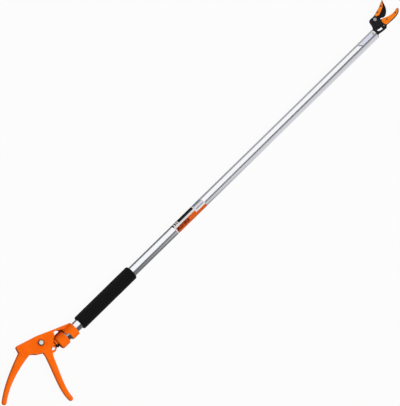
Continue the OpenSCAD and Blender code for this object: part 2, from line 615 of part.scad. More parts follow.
// Cutting blade: a flat body, a ground bevel along the belly and a tail for the link pin
edge_land = 0.3;
bevel_rise = blade_t - edge_land;
tail_r = link_pin_d / 2 + 2.9;
function bevel_cut(e, u) =
    let (out = [-u.y, u.x], a = e - (bevel_w + 1) * out, b = e + out, s = bevel_rise / bevel_w,
        low = -blade_top - s, high = blade_top - edge_land + s)
    [[a.x, a.y, low], [b.x, b.y, low], [b.x, b.y, high]];
module bevel() {
    u0 = curve_dir(edge_a, 0);
    loft(concat([bevel_cut(edge_a[0] - 2 * u0, u0)],
        [for (i = [0:9]) bevel_cut(curve_at(edge_a, i / 10), curve_dir(edge_a, i / 10))],
        [for (i = [0:10]) bevel_cut(curve_at(edge_b, i / 10), curve_dir(edge_b, i / 10))]));
}
blade_outline = concat(
    curve(edge_a, 10), curve(edge_b, 10), [[31.4, 15.6]],
    corner([31.4, 15.6], [27.2, 13.6, 3], link_pin_at + [tail_r, 2], 5),
    arc(link_pin_at, tail_r, 15, -165, 10),
    arc(jaw_pivot, disc_r, 195, 92, 10),
    corner([jaw_pivot.x, jaw_pivot.y + disc_r], [26.6, 28.9, 12], [46, 34], 4),
    corner([26.6, 28.9], [46, 34, 30], [62.6, 41.2], 4), [[62.6, 41.2]]
);
module cutting_blade() color(BLACK) translate([head_x, 0, 0]) difference() {
    plate(-blade_top, blade_top, blade_outline);
    bevel();
    post(jaw_pivot, -blade_t, blade_t, blade_bolt_d / 2 + run);
    post(link_pin_at, -blade_t, blade_t, link_pin_d / 2 + snug);
    for (p = blade_pad_at) post(p, -blade_t, blade_t, rivet_d / 2 + snug);
}
module link_pin() color(STEEL) translate([head_x, 0, 0]) post(link_pin_at, link_z, counter_top - 0.6, link_pin_d / 2);

module blade_hold_plate() color(ORANGE) translate([head_x, 0, 0]) difference() {
    plate(blade_top, blade_top + blade_pad_t, rounded([[26.9, 28.7, 1], [46, 33.8, 30], [62.2, 40.9, 0.4], [56.6, 35, 6],
        [52, 29.8, 8], [43, 25.9, 10], [33.6, 22.6, 1.2], [27.2, 25.2, 1]]));
    for (p = blade_pad_at) post(p, 0, 3 * blade_pad_t, rivet_d / 2 + snug);
}
module blade_plate_rivets() color(STEEL) translate([head_x, 0, 0])
    for (p = blade_pad_at) rivet(p, -blade_top, blade_top + blade_pad_t);

handle_casting();
collar_bush();
trigger_bolt();
trigger_washer();
trigger_nut();
trigger();
trigger_bush();
rod_yoke();
pull_pin();
pull_pin_clip();
pole_tube();
turning_knob();
knob_screw();
retaining_ring();
foam_grip();
tube_plug();
rod_guides();
return_spring();
pull_rod();
rod_stop();
pull_link();
link_nut();
head_socket();
tube_rivets();
counter_blade();
counter_rivets();
counter_hold_plate();
counter_plate_rivets();
blade_bolt();
blade_washer();
blade_nut();
cutting_blade();
link_pin();
blade_hold_plate();
blade_plate_rivets();
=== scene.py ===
# %% [markdown]
# A long reach tree pruner: a pistol grip with a trigger, a bare aluminium pole with a foam sleeve, and a
# small cutting head. The solids come in as a fixed frame, so this lesson only dresses them. Every length
# is in metres, X runs up the pole, Y lies across it in the plane of the grip, and Z points at the viewer.

# %% Load the frame
import bpy
import bmesh
import json
import math
import numpy as np
from mathutils import Matrix, Vector
from mathutils.bvhtree import BVHTree


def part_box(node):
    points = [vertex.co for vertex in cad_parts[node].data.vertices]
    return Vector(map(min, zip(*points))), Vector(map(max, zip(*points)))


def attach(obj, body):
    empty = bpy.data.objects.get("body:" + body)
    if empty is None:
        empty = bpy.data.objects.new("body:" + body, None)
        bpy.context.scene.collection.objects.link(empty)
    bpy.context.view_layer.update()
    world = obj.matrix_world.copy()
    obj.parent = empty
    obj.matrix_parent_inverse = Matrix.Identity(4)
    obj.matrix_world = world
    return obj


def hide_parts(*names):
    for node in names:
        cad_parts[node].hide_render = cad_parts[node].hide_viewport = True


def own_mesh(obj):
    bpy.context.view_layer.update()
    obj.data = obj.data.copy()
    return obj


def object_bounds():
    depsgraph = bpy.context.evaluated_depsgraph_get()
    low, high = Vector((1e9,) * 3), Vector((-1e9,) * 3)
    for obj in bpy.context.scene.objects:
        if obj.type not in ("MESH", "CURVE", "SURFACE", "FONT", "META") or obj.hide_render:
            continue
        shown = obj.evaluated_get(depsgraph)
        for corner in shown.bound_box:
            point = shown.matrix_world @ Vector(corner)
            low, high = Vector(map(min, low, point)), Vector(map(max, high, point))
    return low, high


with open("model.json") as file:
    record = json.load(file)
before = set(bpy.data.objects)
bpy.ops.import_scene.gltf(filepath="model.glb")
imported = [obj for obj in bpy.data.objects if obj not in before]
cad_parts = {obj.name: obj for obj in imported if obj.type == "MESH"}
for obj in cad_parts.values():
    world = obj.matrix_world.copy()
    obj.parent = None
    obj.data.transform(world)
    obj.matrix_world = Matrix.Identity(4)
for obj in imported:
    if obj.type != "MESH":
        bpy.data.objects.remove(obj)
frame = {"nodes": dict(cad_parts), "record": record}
solid_box = [list(corner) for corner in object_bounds()]
MM = 0.001
print("solids from", [round(v, 4) for v in solid_box[0]], "to", [round(v, 4) for v in solid_box[1]])

# %% [markdown]
# The camera looks almost square down on the tool, leaning about twelve degrees towards the grip. That
# lean shows in the collar, whose round end bulges a little towards the head. A long lens from eight
# metres keeps the pole's two edges parallel, as they are in the picture.

# %% Camera
EYE = Vector((-1.42165, 0.00338, 7.81636))
RIGHTWARDS = Vector((0.698337, -0.699389, 0.152262))
UPWARDS = Vector((0.683335, 0.714743, 0.148991))
POLE_MIDDLE = Vector((0.28, 0, 0))

lens = bpy.data.cameras.new("camera")
lens.sensor_width = 36
lens.lens = 341.08
lens.clip_start = 0.1
lens.clip_end = 60
camera = bpy.data.objects.new("camera", lens)
bpy.context.collection.objects.link(camera)
camera.matrix_world = Matrix((RIGHTWARDS, UPWARDS, RIGHTWARDS.cross(UPWARDS))).transposed().to_4x4()
camera.location = EYE
bpy.context.scene.camera = camera
print("camera", round((EYE - POLE_MIDDLE).length, 2), "m away")

# %% [markdown]
# Materials are small graphs of nodes. One helper adds a node and sets or links its inputs, and one starts
# a material from the standard skin. A value that is the same all over a surface is set on the skin
# itself.

# %% Nodes and skins
def add(tree, kind, ins=None, **settings):
    node = tree.nodes.new(kind)
    for key, value in settings.items():
        setattr(node, key, value)
    for key, value in (ins or {}).items():
        if isinstance(value, bpy.types.NodeSocket):
            tree.links.new(value, node.inputs[key])
        else:
            node.inputs[key].default_value = value
    return node


def start(name, rough=0.5, metal=0.0, **sockets):
    mat = bpy.data.materials.new(name)
    mat.use_nodes = True
    skin = mat.node_tree.nodes["Principled BSDF"]
    skin.inputs["Roughness"].default_value = rough
    skin.inputs["Metallic"].default_value = metal
    for key, value in sockets.items():
        skin.inputs[key.replace("_", " ")].default_value = value
    return mat, mat.node_tree, skin


print("materials before this lesson's own:", len(bpy.data.materials))

# %% [markdown]
# Patterns use Object coordinates: each piece sits at the origin, so one metre of pattern is one metre of
# tool. With a grain, a change of range, a mix of colours, a product and a relief, each finish below reads
# as a list of what it is made of. What the mesh itself knows, such as where it is worn, comes in as an
# attribute.

# %% Patterns
def object_place(tree):
    return add(tree, "ShaderNodeTexCoord").outputs["Object"]


def attribute(tree, name):
    return add(tree, "ShaderNodeAttribute", attribute_name=name).outputs["Fac"]


def grain(tree, scale, detail=2.0, stretch=(1, 1, 1)):
    turned = add(tree, "ShaderNodeMapping", {"Vector": object_place(tree), "Scale": stretch}).outputs[0]
    noise = add(tree, "ShaderNodeTexNoise", {"Vector": turned, "Scale": scale, "Detail": detail})
    return noise.outputs["Fac"]


def spread(tree, value, low, high, to_low, to_high):
    return add(tree, "ShaderNodeMapRange", {"Value": value, "From Min": low, "From Max": high,
                                            "To Min": to_low, "To Max": to_high}).outputs[0]


def between(tree, share, first, second):
    node = add(tree, "ShaderNodeMix", {0: share}, data_type="RGBA")
    for socket, colour in ((node.inputs[6], first), (node.inputs[7], second)):
        if isinstance(colour, bpy.types.NodeSocket):
            tree.links.new(colour, socket)
        else:
            socket.default_value = (*colour, 1)
    return node.outputs[2]


def times(tree, first, second):
    return add(tree, "ShaderNodeMath", {0: first, 1: second}, operation="MULTIPLY").outputs[0]


def relief(tree, skin, height, depth, strength):
    bump = add(tree, "ShaderNodeBump", {"Height": height, "Distance": depth, "Strength": strength})
    tree.links.new(bump.outputs[0], skin.inputs["Normal"])


print("pattern helpers:", [helper.__name__ for helper in (grain, spread, between, times, relief)])

# %% [markdown]
# The handle, trigger and knob are die castings under a thick orange coat, and the holding plates carry a
# paler one. Such a coat flows a little before it sets, which leaves a fine orange peel. Hands wear it
# paler along the edges. Painted shade darkens the recess beside the knob, where the top bar and the knob
# keep the light out. Both could be painted by hand. Attributes that are measured on the mesh, further
# down, follow its shape by themselves.

# %% Orange coat
# Painted shade: the dark brown that the recess share mixes into the coat.
RECESS_SHADE = (0.2, 0.022, 0.001)


def orange_coat(name, deep, bright, worn):
    mat, tree, skin = start(name, rough=0.42, Specular_IOR_Level=0.08)
    cloud = spread(tree, grain(tree, 55, 3), 0.35, 0.65, 0, 1)
    body = between(tree, cloud, deep, bright)
    rubbed = times(tree, attribute(tree, "edge"), spread(tree, grain(tree, 420, 4), 0.4, 0.62, 0.1, 0.75))
    body = between(tree, rubbed, body, worn)
    # Painted shade in the recess beside the knob, made a little patchy.
    patchy_shade = times(tree, attribute(tree, "recess"), spread(tree, grain(tree, 160, 3), 0.3, 0.7, 0.8, 1.2))
    body = between(tree, spread(tree, patchy_shade, 0.1, 0.7, 0, 0.95), body, RECESS_SHADE)
    tree.links.new(body, skin.inputs["Base Color"])
    tree.links.new(spread(tree, grain(tree, 240, 3), 0.3, 0.7, 0.36, 0.5), skin.inputs["Roughness"])
    relief(tree, skin, grain(tree, 950, 1), 0.2 * MM, 0.3)
    return mat


CASTING = orange_coat("casting_orange", (0.93, 0.128, 0.002), (0.99, 0.152, 0.004), (1.0, 0.23, 0.02))
PLATE = orange_coat("plate_orange", (0.92, 0.19, 0.006), (0.99, 0.25, 0.012), (1.0, 0.36, 0.06))
print("orange coats:", CASTING.name, PLATE.name)

# %% [markdown]
# The head and both blades carry a thin black coat that keeps sap from sticking. It is darker than paint
# and a little uneven in gloss. Where the cutting edge is ground, the coat is gone and bright steel shows,
# with the fine lines of the grindstone across it. Coat and steel could be two materials with a seam. One
# graph that reads where the edge is ground keeps the blade a single piece.

# %% Black coat and ground steel
def black_coat(name, gloss, ground=False):
    mat, tree, skin = start(name, rough=0.4, Specular_IOR_Level=gloss)
    shade = spread(tree, grain(tree, 140, 4), 0.3, 0.7, 0, 1)
    body = between(tree, shade, (0.005, 0.005, 0.006), (0.012, 0.012, 0.014))
    rubbed = times(tree, attribute(tree, "edge"), spread(tree, grain(tree, 600, 3), 0.45, 0.62, 0, 0.6))
    body = between(tree, rubbed, body, (0.06, 0.06, 0.063))
    if ground:
        bare = attribute(tree, "ground")
        lines = grain(tree, 900, 2, (0.25, 1, 1))
        steel = between(tree, lines, (0.42, 0.43, 0.44), (0.72, 0.73, 0.75))
        body = between(tree, bare, body, steel)
        tree.links.new(bare, skin.inputs["Metallic"])
    tree.links.new(body, skin.inputs["Base Color"])
    tree.links.new(spread(tree, grain(tree, 320, 3), 0.3, 0.7, 0.33, 0.5), skin.inputs["Roughness"])
    relief(tree, skin, grain(tree, 1500, 2), 0.08 * MM, 0.35)
    return mat


BLACK = black_coat("black_coat", 0.2)
BLADE = black_coat("black_coat_ground", 0.1, ground=True)
print("black coats:", BLACK.name, BLADE.name)

# %% [markdown]
# The pole's upper end is pressed flat over the tang of the head. The flat gets a darker, bluer metal, and a
# dark slanted band at its lower step is painted shade: the solid's step is square, and the band stands in
# for the shaded edge of a slanted one. The flat itself is in the solid. A point lies on it when it reaches
# the flat's level in the direction that the flat faces, so a dot product finds it and no picture is needed.

# %% Pressed flat
FLAT_START = 40 * MM
FLAT_END = 7 * MM
FLAT_DEPTH = 0.5 * MM
FLAT_TURN = math.radians(20)
FLAT_SLANT = 0.9
FLAT_FADE = 0.3 * MM
OVER_FROM = 0.1 * MM
OVER_FULL = 0.04 * MM
MARK_HALF = 1.5 * MM
MARK_FADE = 0.2 * MM
DULL_METAL = (0.67, 0.69, 0.80)
# Painted shade for the slanted lower step of the flat.
STEP_SHADE = (0.15, 0.155, 0.20)


def frame_radius(node):
    low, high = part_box(node)
    return (high[2] - low[2]) / 2


def dot(tree, place, direction):
    product = add(tree, "ShaderNodeVectorMath", {0: place, 1: direction}, operation="DOT_PRODUCT")
    return product.outputs["Value"]


def pressed_flat(tree, place, along, satin):
    """A darker, bluer metal on the flat of the tube's upper end, and painted shade along its lower step."""
    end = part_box("pole_tube")[1][0]
    step = end - FLAT_START
    stop = end - FLAT_END
    level = frame_radius("pole_tube") - FLAT_DEPTH
    height = dot(tree, place, (0, math.sin(FLAT_TURN), math.cos(FLAT_TURN)))
    over = spread(tree, height, level - OVER_FROM, level - OVER_FULL, 0, 1)
    slant = dot(tree, place, (1, FLAT_SLANT, 0))
    inside = times(tree, spread(tree, slant, step, step + FLAT_FADE, 0, 1),
                   spread(tree, along, stop, stop + FLAT_FADE, 1, 0))
    dull = between(tree, times(tree, over, inside), satin, DULL_METAL)
    # Painted shade: a slanted band across the lower step.
    first = step - MARK_HALF
    last = step + MARK_HALF
    mark = times(tree, spread(tree, slant, first - MARK_FADE, first + MARK_FADE, 0, 0.95),
                 spread(tree, slant, last - MARK_FADE, last + MARK_FADE, 1, 0))
    return between(tree, times(tree, over, mark), dull, STEP_SHADE)


print("flat of", round((FLAT_START - FLAT_END) / MM), "mm, tube radius", round(frame_radius("pole_tube"), 4))

# %% [markdown]
# The pole is drawn aluminium tube, lightly brushed and anodised. Drawing leaves faint streaks that run
# the whole length, so the noise is stretched along X. The lower end, which turns in the collar, gets a
# painted shade of dark blue grey that fades out just before the collar's end.

# %% Drawn tube
COLLAR_SHADE = (0.30, 0.29, 0.34)
COLLAR_SHADE_FULL = 8 * MM
COLLAR_SHADE_GONE = 4 * MM


def drawn_tube():
    mat, tree, skin = start("tube_satin", rough=0.2, metal=1.0)
    streak = grain(tree, 900, 3, (0.006, 1, 1))
    satin = between(tree, streak, (0.88, 0.89, 0.92), (0.96, 0.97, 0.99))
    place = object_place(tree)
    along = add(tree, "ShaderNodeSeparateXYZ", {0: place}).outputs["X"]
    satin = pressed_flat(tree, place, along, satin)
    collar_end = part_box("collar_bush")[1][0]
    # Painted shade on the tube inside the collar and in the gap beside the knob.
    collar_shade_share = spread(tree, along, collar_end - COLLAR_SHADE_FULL, collar_end - COLLAR_SHADE_GONE, 0.85, 0)
    tree.links.new(between(tree, collar_shade_share, satin, COLLAR_SHADE), skin.inputs["Base Color"])
    tree.links.new(spread(tree, streak, 0.3, 0.7, 0.16, 0.24), skin.inputs["Roughness"])
    relief(tree, skin, streak, 0.03 * MM, 0.3)
    return mat


TUBE = drawn_tube()
print("tube:", TUBE.name)

# %% [markdown]
# Bolts, nuts and washers are zinc plated, the pin in the trigger is rubbed bright, and the rivets of the
# holding plates have darkened. They differ in tone and polish alone, so one function makes all three from
# a mottled metal.

# %% Plated steel and rivets
def mottled_metal(name, low, high, rough):
    mat, tree, skin = start(name, rough=rough, metal=1.0)
    mottle = grain(tree, 300, 3)
    tree.links.new(between(tree, mottle, low, high), skin.inputs["Base Color"])
    tree.links.new(spread(tree, mottle, 0.3, 0.7, rough * 0.8, rough * 1.2), skin.inputs["Roughness"])
    relief(tree, skin, mottle, 0.03 * MM, 0.3)
    return mat


ZINC = mottled_metal("zinc_plate", (0.40, 0.40, 0.41), (0.62, 0.62, 0.62), 0.27)
RIVET = mottled_metal("dark_rivet", (0.16, 0.11, 0.07), (0.30, 0.22, 0.15), 0.42)
PIN = mottled_metal("bright_pin", (0.86, 0.86, 0.86), (0.97, 0.97, 0.96), 0.22)
print("steel:", ZINC.name, RIVET.name, PIN.name)

# %% [markdown]
# The two bolt heads get painted light on the crown, a lighter metal, and painted shade round the rim. The
# distance from the bolt's axis tells crown from rim. It comes from Object coordinates, moved to the axis and
# pressed flat. A second material on the rim's faces would end in a hard line, and a distance fades.

# %% Bolt heads
RIM_START = 0.5
RIM_FULL = 0.85
# Painted shade for the rim of the bolt heads.
RIM_SHADE = (0.07, 0.06, 0.055)


def rimmed_head(name, bolt):
    low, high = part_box(bolt)
    radius = (high[0] - low[0]) / 2
    to_axis = (-(low[0] + high[0]) / 2, -(low[1] + high[1]) / 2, 0)
    mat, tree, skin = start(name, rough=0.27, metal=1.0)
    moved = add(tree, "ShaderNodeVectorMath", {0: object_place(tree), 1: to_axis}, operation="ADD").outputs[0]
    flat = add(tree, "ShaderNodeVectorMath", {0: moved, 1: (1, 1, 0)}, operation="MULTIPLY").outputs[0]
    reach = add(tree, "ShaderNodeVectorMath", {0: flat}, operation="LENGTH").outputs["Value"]
    # Painted shade round the rim, over a lighter painted crown.
    rim = spread(tree, reach, RIM_START * radius, RIM_FULL * radius, 0, 1)
    mottle = grain(tree, 300, 3)
    crown = between(tree, mottle, (0.62, 0.62, 0.63), (0.86, 0.86, 0.86))
    tree.links.new(between(tree, rim, crown, RIM_SHADE), skin.inputs["Base Color"])
    tree.links.new(spread(tree, mottle, 0.3, 0.7, 0.22, 0.34), skin.inputs["Roughness"])
    return mat


TRIGGER_HEAD = rimmed_head("trigger_bolt_head", "trigger_bolt")
BLADE_HEAD = rimmed_head("blade_bolt_head", "blade_bolt")
print("bolt heads:", TRIGGER_HEAD.name, BLADE_HEAD.name)

# %% [markdown]
# Bushes, guides and the plug are natural nylon: milky, a little warm, and not quite even. A touch of
# light passes under its surface, which is set on the skin. With a plain colour alone it would look like
# white paint.

# %% Nylon
def natural_nylon():
    mat, tree, skin = start("natural_nylon", rough=0.45, Subsurface_Weight=0.1)
    tint = between(tree, grain(tree, 90, 2), (0.72, 0.70, 0.64), (0.84, 0.83, 0.78))
    tree.links.new(tint, skin.inputs["Base Color"])
    relief(tree, skin, grain(tree, 800, 2), 0.05 * MM, 0.3)
    return mat


NYLON = natural_nylon()
print("nylon:", NYLON.name)

# %% [markdown]
# The sleeve on the pole is closed cell foam. Its skin is made of small bubbles of different sizes, so the
# graph lays two sizes of cells over each other and paints shade into the hollows between them. Lighter
# specks on top are a painted highlight. Bubbles this small would cost far too many faces as a mesh, so
# they are relief.

# %% Foam
def cell_foam():
    mat, tree, skin = start("black_foam", rough=0.85, Specular_IOR_Level=0.15, Sheen_Weight=0.05,
                            Sheen_Roughness=0.5)
    place = object_place(tree)
    big = add(tree, "ShaderNodeTexVoronoi", {"Vector": place, "Scale": 620}).outputs["Distance"]
    small = add(tree, "ShaderNodeTexVoronoi", {"Vector": place, "Scale": 1500}).outputs["Distance"]
    cells = add(tree, "ShaderNodeMath", {0: big, 1: small}, operation="ADD").outputs[0]
    hollow_shade = spread(tree, cells, 0.3, 1.0, 0, 1)
    # Painted shade: the hollows between the cells are darker.
    tone = between(tree, hollow_shade, (0.008, 0.008, 0.009), (0.003, 0.003, 0.0035))
    # Painted highlight: lighter specks over the foam.
    highlight_specks = spread(tree, grain(tree, 700, 4), 0.6, 0.78, 0, 0.5)
    tree.links.new(between(tree, highlight_specks, tone, (0.03, 0.03, 0.032)), skin.inputs["Base Color"])
    relief(tree, skin, cells, -0.3 * MM, 0.6)
    return mat


FOAM = cell_foam()
print("foam:", FOAM.name)

# %% [markdown]
# Each solid keeps its shape and only gets its finish. The record names a slot for every node, so one
# table from slot to material dresses them all. Two bolts and the pin have a finish of their own.

# %% Dress the solids
FINISH = {"orange_casting": CASTING, "orange_steel": PLATE, "black_steel": BLACK, "dark_rivet": RIVET,
          "bright_steel": ZINC, "tube_aluminium": TUBE, "foam": FOAM, "nylon": NYLON}
OWN = {"trigger_bolt": TRIGGER_HEAD, "blade_bolt": BLADE_HEAD, "pull_pin": PIN}
SLOT = {part["node"]: part["material_slot"] for part in frame["record"]["subparts"]}
for name, node in frame["nodes"].items():
    node.data.materials.clear()
    node.data.materials.append(OWN.get(name, FINISH[SLOT[name]]))
print("dressed", len(frame["nodes"]), "solids")

# %% [markdown]
# Some pieces need softer edges than their solids have. A solid is never edited: its copy is, and then
# stands for it. The copy's loose triangles are welded, modifiers shape it, and the result is kept as a
# plain mesh, so that nothing is worked out again later.

# %% Copies of solids
WELD = 0.001 * MM


def link(name, mesh):
    piece = bpy.data.objects.new(name, mesh)
    bpy.context.collection.objects.link(piece)
    return piece


def welded(node):
    work = bmesh.new()
    work.from_mesh(frame["nodes"][node].data)
    bmesh.ops.remove_doubles(work, verts=work.verts, dist=WELD)
    mesh = bpy.data.meshes.new(node + "_welded")
    work.to_mesh(mesh)
    work.free()
    return mesh


def smooth(mesh):
    mesh.polygons.foreach_set("use_smooth", [True] * len(mesh.polygons))


def settle(piece):
    graph = bpy.context.evaluated_depsgraph_get()
    mesh = bpy.data.meshes.new_from_object(piece.evaluated_get(graph))
    piece.modifiers.clear()
    piece.data = mesh
    return mesh


print("solids to copy from:", len(frame["nodes"]))

# %% [markdown]
# Every new piece gets a material and a body to ride on, and the solids that it stands for are hidden. The
# record lists which node is on which body, so a copy rides where its solid does.

# %% Dress a new piece
BODY = {node: body for body, nodes in frame["record"]["behaviour"]["bodies"].items() for node in nodes}


def dress(piece, material, body, slot, *nodes):
    piece.data.materials.clear()
    piece.data.materials.append(material)
    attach(piece, body)
    if nodes:
        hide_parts(*nodes)


print("bodies to ride on:", sorted(set(BODY.values())))

# %% [markdown]
# A coat wears where a hand or a twig reaches it first, on edges. A point on an edge stands out from the
# middle of its neighbours, and a point on a flat does not. That lift is measured for all points at once,
# evened out a little, and written as an attribute for the coats above.

# %% Worn edges
EVENING_PASSES = 2


def mark_edges(mesh, reach):
    """Write how far each point stands out from its neighbours, 0 on flats and 1 on edges."""
    spots = np.empty(len(mesh.vertices) * 3)
    mesh.vertices.foreach_get("co", spots)
    spots = spots.reshape(-1, 3)
    pairs = np.empty(len(mesh.edges) * 2, dtype=int)
    mesh.edges.foreach_get("vertices", pairs)
    first, second = pairs.reshape(-1, 2).T
    facing = np.array([v.vector for v in mesh.vertex_normals])
    total = np.zeros_like(spots)
    count = np.zeros(len(spots))
    for a, b in ((first, second), (second, first)):
        np.add.at(total, a, spots[b])
        np.add.at(count, a, 1)
    count = np.maximum(count, 1)
    lift = ((spots - total / count[:, None]) * facing).sum(1)
    for _ in range(EVENING_PASSES):
        near = np.zeros(len(spots))
        np.add.at(near, first, lift[second])
        np.add.at(near, second, lift[first])
        lift = 0.5 * lift + 0.5 * near / count
    share = np.clip(lift / reach, 0, 1)
    mesh.attributes.new("edge", "FLOAT", "POINT").data.foreach_set("value", share)
    print("mean wear", round(float(share.mean()), 3), end=", ")


print("wear is evened out", EVENING_PASSES, "times")

# %% [markdown]
# A casting has no sharp edges: the mould needs radii, and the coat fills them further. So each cast piece
# is rebuilt from small cells and smoothed a few times, which rolls every edge by about the size of a few
# cells. A bevel would do for a plain plate, but not where a bar grows out of a plate.

# %% Rounded castings
WEAR_PER_CELL = 0.06


def rounded(node, name, cell, passes):
    piece = link(name, welded(node))
    grid = piece.modifiers.new("cells", "REMESH")
    grid.mode = "VOXEL"
    grid.voxel_size = cell
    relax = piece.modifiers.new("roll", "SMOOTH")
    relax.factor = 0.5
    relax.iterations = passes
    mesh = settle(piece)
    smooth(mesh)
    mark_edges(mesh, cell * WEAR_PER_CELL)
    dress(piece, FINISH[SLOT[node]], BODY[node], SLOT[node], node)
    print(name, "has", len(mesh.polygons), "faces")
    return piece


handle = rounded("handle_casting", "handle_coated", 0.7 * MM, 16)
rounded("trigger", "trigger_coated", 0.6 * MM, 16)
rounded("turning_knob", "knob_coated", 0.5 * MM, 10)
rounded("head_socket", "socket_coated", 0.3 * MM, 6)

# %% [markdown]
# Painted shade goes into the recess of the handle beside the knob, where the top bar and the knob keep the
# light out. A search tree of the knob's faces gives each point's distance to it. The share falls with that
# distance, and it only counts on the side of the top bar, so that the open side stays unshaded.

# %% Painted shade in the recess
RECESS_REACH = 8 * MM
RECESS_SIDE = 5 * MM
RECESS_DEPTH = 9 * MM


def mark_recess_shade(piece, neighbour):
    work = bmesh.new()
    work.from_mesh(frame["nodes"][neighbour].data)
    tree = BVHTree.FromBMesh(work)
    work.free()
    share = np.zeros(len(piece.data.vertices))
    for i, point in enumerate(piece.data.vertices):
        far = tree.find_nearest(point.co, RECESS_REACH)[3]
        if far is not None:
            # The painted shade grows towards the top bar's side.
            inward = min(1, max(0, (point.co.y - RECESS_SIDE) / RECESS_DEPTH))
            share[i] = (1 - far / RECESS_REACH) * inward
    piece.data.attributes.new("recess", "FLOAT", "POINT").data.foreach_set("value", share)
    print("points in the recess:", int((share > 0).sum()))


mark_recess_shade(handle, "turning_knob")

# %% [markdown]
# The counter blade and the two holding plates are punched out and tumbled, so their faces are true and
# only the edges are broken. Here a bevel is right: flat triangles are joined to whole faces first, so
# that it finds the real edges alone. The bevel gives its new faces a second material index, which tells
# where the coat wears.

# %% Plates with broken edges
FLAT_WITHIN = math.radians(0.5)
EDGE_FROM = math.radians(35)


def broken_edges(node, name, width):
    mesh = welded(node)
    work = bmesh.new()
    work.from_mesh(mesh)
    bmesh.ops.dissolve_limit(work, angle_limit=FLAT_WITHIN, verts=work.verts, edges=work.edges)
    work.to_mesh(mesh)
    work.free()
    piece = link(name, mesh)
    for _ in range(2):
        mesh.materials.append(FINISH[SLOT[node]])
    smooth(mesh)
    roll = piece.modifiers.new("roll", "BEVEL")
    roll.width = width
    roll.segments = 3
    roll.limit_method = "ANGLE"
    roll.angle_limit = EDGE_FROM
    roll.use_clamp_overlap = False
    roll.harden_normals = True
    roll.material = 1
    mesh = settle(piece)
    worn = [float(face.material_index) for face in mesh.polygons]
    mesh.attributes.new("edge", "FLOAT", "FACE").data.foreach_set("value", worn)
    mesh.polygons.foreach_set("material_index", [0] * len(mesh.polygons))
    dress(piece, FINISH[SLOT[node]], BODY[node], SLOT[node], node)
    print(name, "has", len(mesh.polygons), "faces,", int(sum(worn)), "on its edges")


broken_edges("counter_blade", "counter_coated", 0.2 * MM)
broken_edges("counter_hold_plate", "counter_plate_coated", 0.25 * MM)
broken_edges("blade_hold_plate", "blade_plate_coated", 0.15 * MM)

# %% [markdown]
# The cutting blade keeps its exact shape, because cells would eat its thin edge. A welded copy only tells
# which faces the grindstone has touched: those that lean between flat and upright on the under side.

# %% Ground blade
LEAN_FLAT = -0.97
LEAN_UPRIGHT = -0.25
BLADE_CREASE = math.radians(25)


def ground_blade():
    mesh = welded("cutting_blade")
    piece = link("blade_coated", mesh)
    share = [float(LEAN_FLAT < face.normal.z < LEAN_UPRIGHT) for face in mesh.polygons]
    mesh.attributes.new("ground", "FLOAT", "FACE").data.foreach_set("value", share)
    smooth(mesh)
    mesh.set_sharp_from_angle(angle=BLADE_CREASE)
    dress(piece, BLADE, "blade", "black_steel", "cutting_blade")
    print("ground faces:", int(sum(share)), "of", len(share))


ground_blade()

# %% [markdown]
# The return spring sits in the tube between the plug and the stop on the pull rod. When the trigger is
# pulled the stop comes nearer and the spring shortens. Its copy keeps the wound wire as it is in the
# solid, with smooth shading.

# %% Return spring
SPRING_CREASE = math.radians(40)


def pressed_spring():
    mesh = welded("return_spring")
    piece = link("spring_coil", mesh)
    smooth(mesh)
    mesh.set_sharp_from_angle(angle=SPRING_CREASE)
    dress(piece, ZINC, BODY["return_spring"], SLOT["return_spring"], "return_spring")
    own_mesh(piece)


pressed_spring()

# %% [markdown]
# The foam sleeve is pushed on and held by its own stretch. A slack pad would ask for a cloth simulation,
# but a tight sleeve keeps its form, so it is turned from a profile with soft ends: a list of places along
# the pole, each with a radius. The second end is the first one mirrored.

# %% Profile of the foam sleeve
SLEEVE_END = 3.4 * MM
SLEEVE_GAP = 0.02 * MM
ALONG = 150
sleeve_low, sleeve_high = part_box("foam_grip")
sleeve_half = (sleeve_high[0] - sleeve_low[0]) / 2
sleeve_outer = sleeve_high[1]
sleeve_inner = frame_radius("pole_tube") + SLEEVE_GAP


def sleeve_profile(half, inner, outer):
    face = [(-half, inner), (-half, (inner + outer - SLEEVE_END) / 2)]
    bend = [(-half + SLEEVE_END * (1 - math.cos(a)), outer - SLEEVE_END + SLEEVE_END * math.sin(a))
            for a in np.radians(range(0, 90, 15))]
    side = [(-half + SLEEVE_END + (2 * half - 2 * SLEEVE_END) * i / ALONG, outer) for i in range(ALONG + 1)]
    return face + bend + side + [(-x, r) for x, r in reversed(face + bend)]


profile = sleeve_profile(sleeve_half, sleeve_inner, sleeve_outer)
print("sleeve profile of", len(profile), "points,", round(2 * sleeve_half, 3), "m long")

# %% [markdown]
# Foam that has been gripped is never quite round. A handful of slow waves, drawn once from a fixed seed,
# press its skin in a little everywhere, most on the outside and not at all at the bore, so it stays
# inside its solid.

# %% Foam sleeve
AROUND = 96
SEED = 7
WAVES = 14
WAVE = 0.22 * MM
SUNK = 0.7


